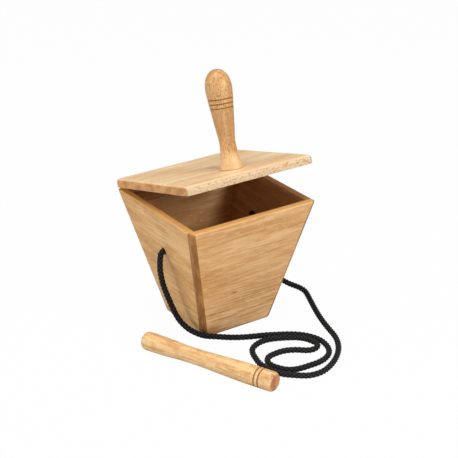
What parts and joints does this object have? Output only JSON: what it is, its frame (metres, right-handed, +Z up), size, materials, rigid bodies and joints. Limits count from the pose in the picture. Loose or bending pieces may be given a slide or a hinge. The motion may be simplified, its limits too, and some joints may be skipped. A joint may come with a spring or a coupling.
{
  "type": "cajita",
  "caption": "Hopper-shaped wooden box drum with a hinged lid standing ajar, a turned handle on the lid, a black neck cord and a turned wooden beater lying in front.",
  "frame": {"origin": "centre of the box's underside, on the surface that it stands on", "axes": "+Z up; -Y towards the front board; +X to the right seen from the front; the lid's hinge runs along X at the back"},
  "size_m": [0.2741, 0.3128, 0.3482],
  "materials": {
    "box_wood": "satin clear lacquer over light hardwood, darker end grain",
    "lid_wood": "satin clear lacquer over pale hardwood with long pores",
    "handle_wood": "turned hardwood, glossy lacquer",
    "beater_wood": "turned hardwood, glossy lacquer",
    "hinge_brass": "plated, lightly polished",
    "steel": "zinc plated",
    "cord_braid": "black braided cord, matt"
  },
  "bodies": {
    "box": {"front_board": "box_wood", "back_board": "box_wood", "left_board": "box_wood", "right_board": "box_wood", "bottom_board": "box_wood", "hinge_left_box_leaf": "hinge_brass", "hinge_left_pin": "steel", "hinge_right_box_leaf": "hinge_brass", "hinge_right_pin": "steel", "screw_left_box_1": "hinge_brass", "screw_left_box_2": "hinge_brass", "screw_right_box_1": "hinge_brass", "screw_right_box_2": "hinge_brass", "neck_cord": "cord_braid", "knot_left": "cord_braid", "knot_right": "cord_braid"},
    "lid": {"lid_board": "lid_wood", "lid_handle": "handle_wood", "handle_screw": "steel", "hinge_left_lid_leaf": "hinge_brass", "hinge_right_lid_leaf": "hinge_brass", "screw_left_lid_1": "hinge_brass", "screw_left_lid_2": "hinge_brass", "screw_right_lid_1": "hinge_brass", "screw_right_lid_2": "hinge_brass"},
    "beater": {"beater": "beater_wood"}
  },
  "joints": [
    {"name": "lid_hinge", "type": "hinge", "parent": "box", "child": "lid", "pos_m": [0, 0.0957, 0.1752], "axis": [-1, 0, 0], "range_deg": [-15.3, 164.7]},
    {"name": "beater_lift", "type": "slide", "parent": "box", "child": "beater", "axis": [-0.46, -0.19, 0.8674], "range_m": [0, 0.15]}
  ]
}
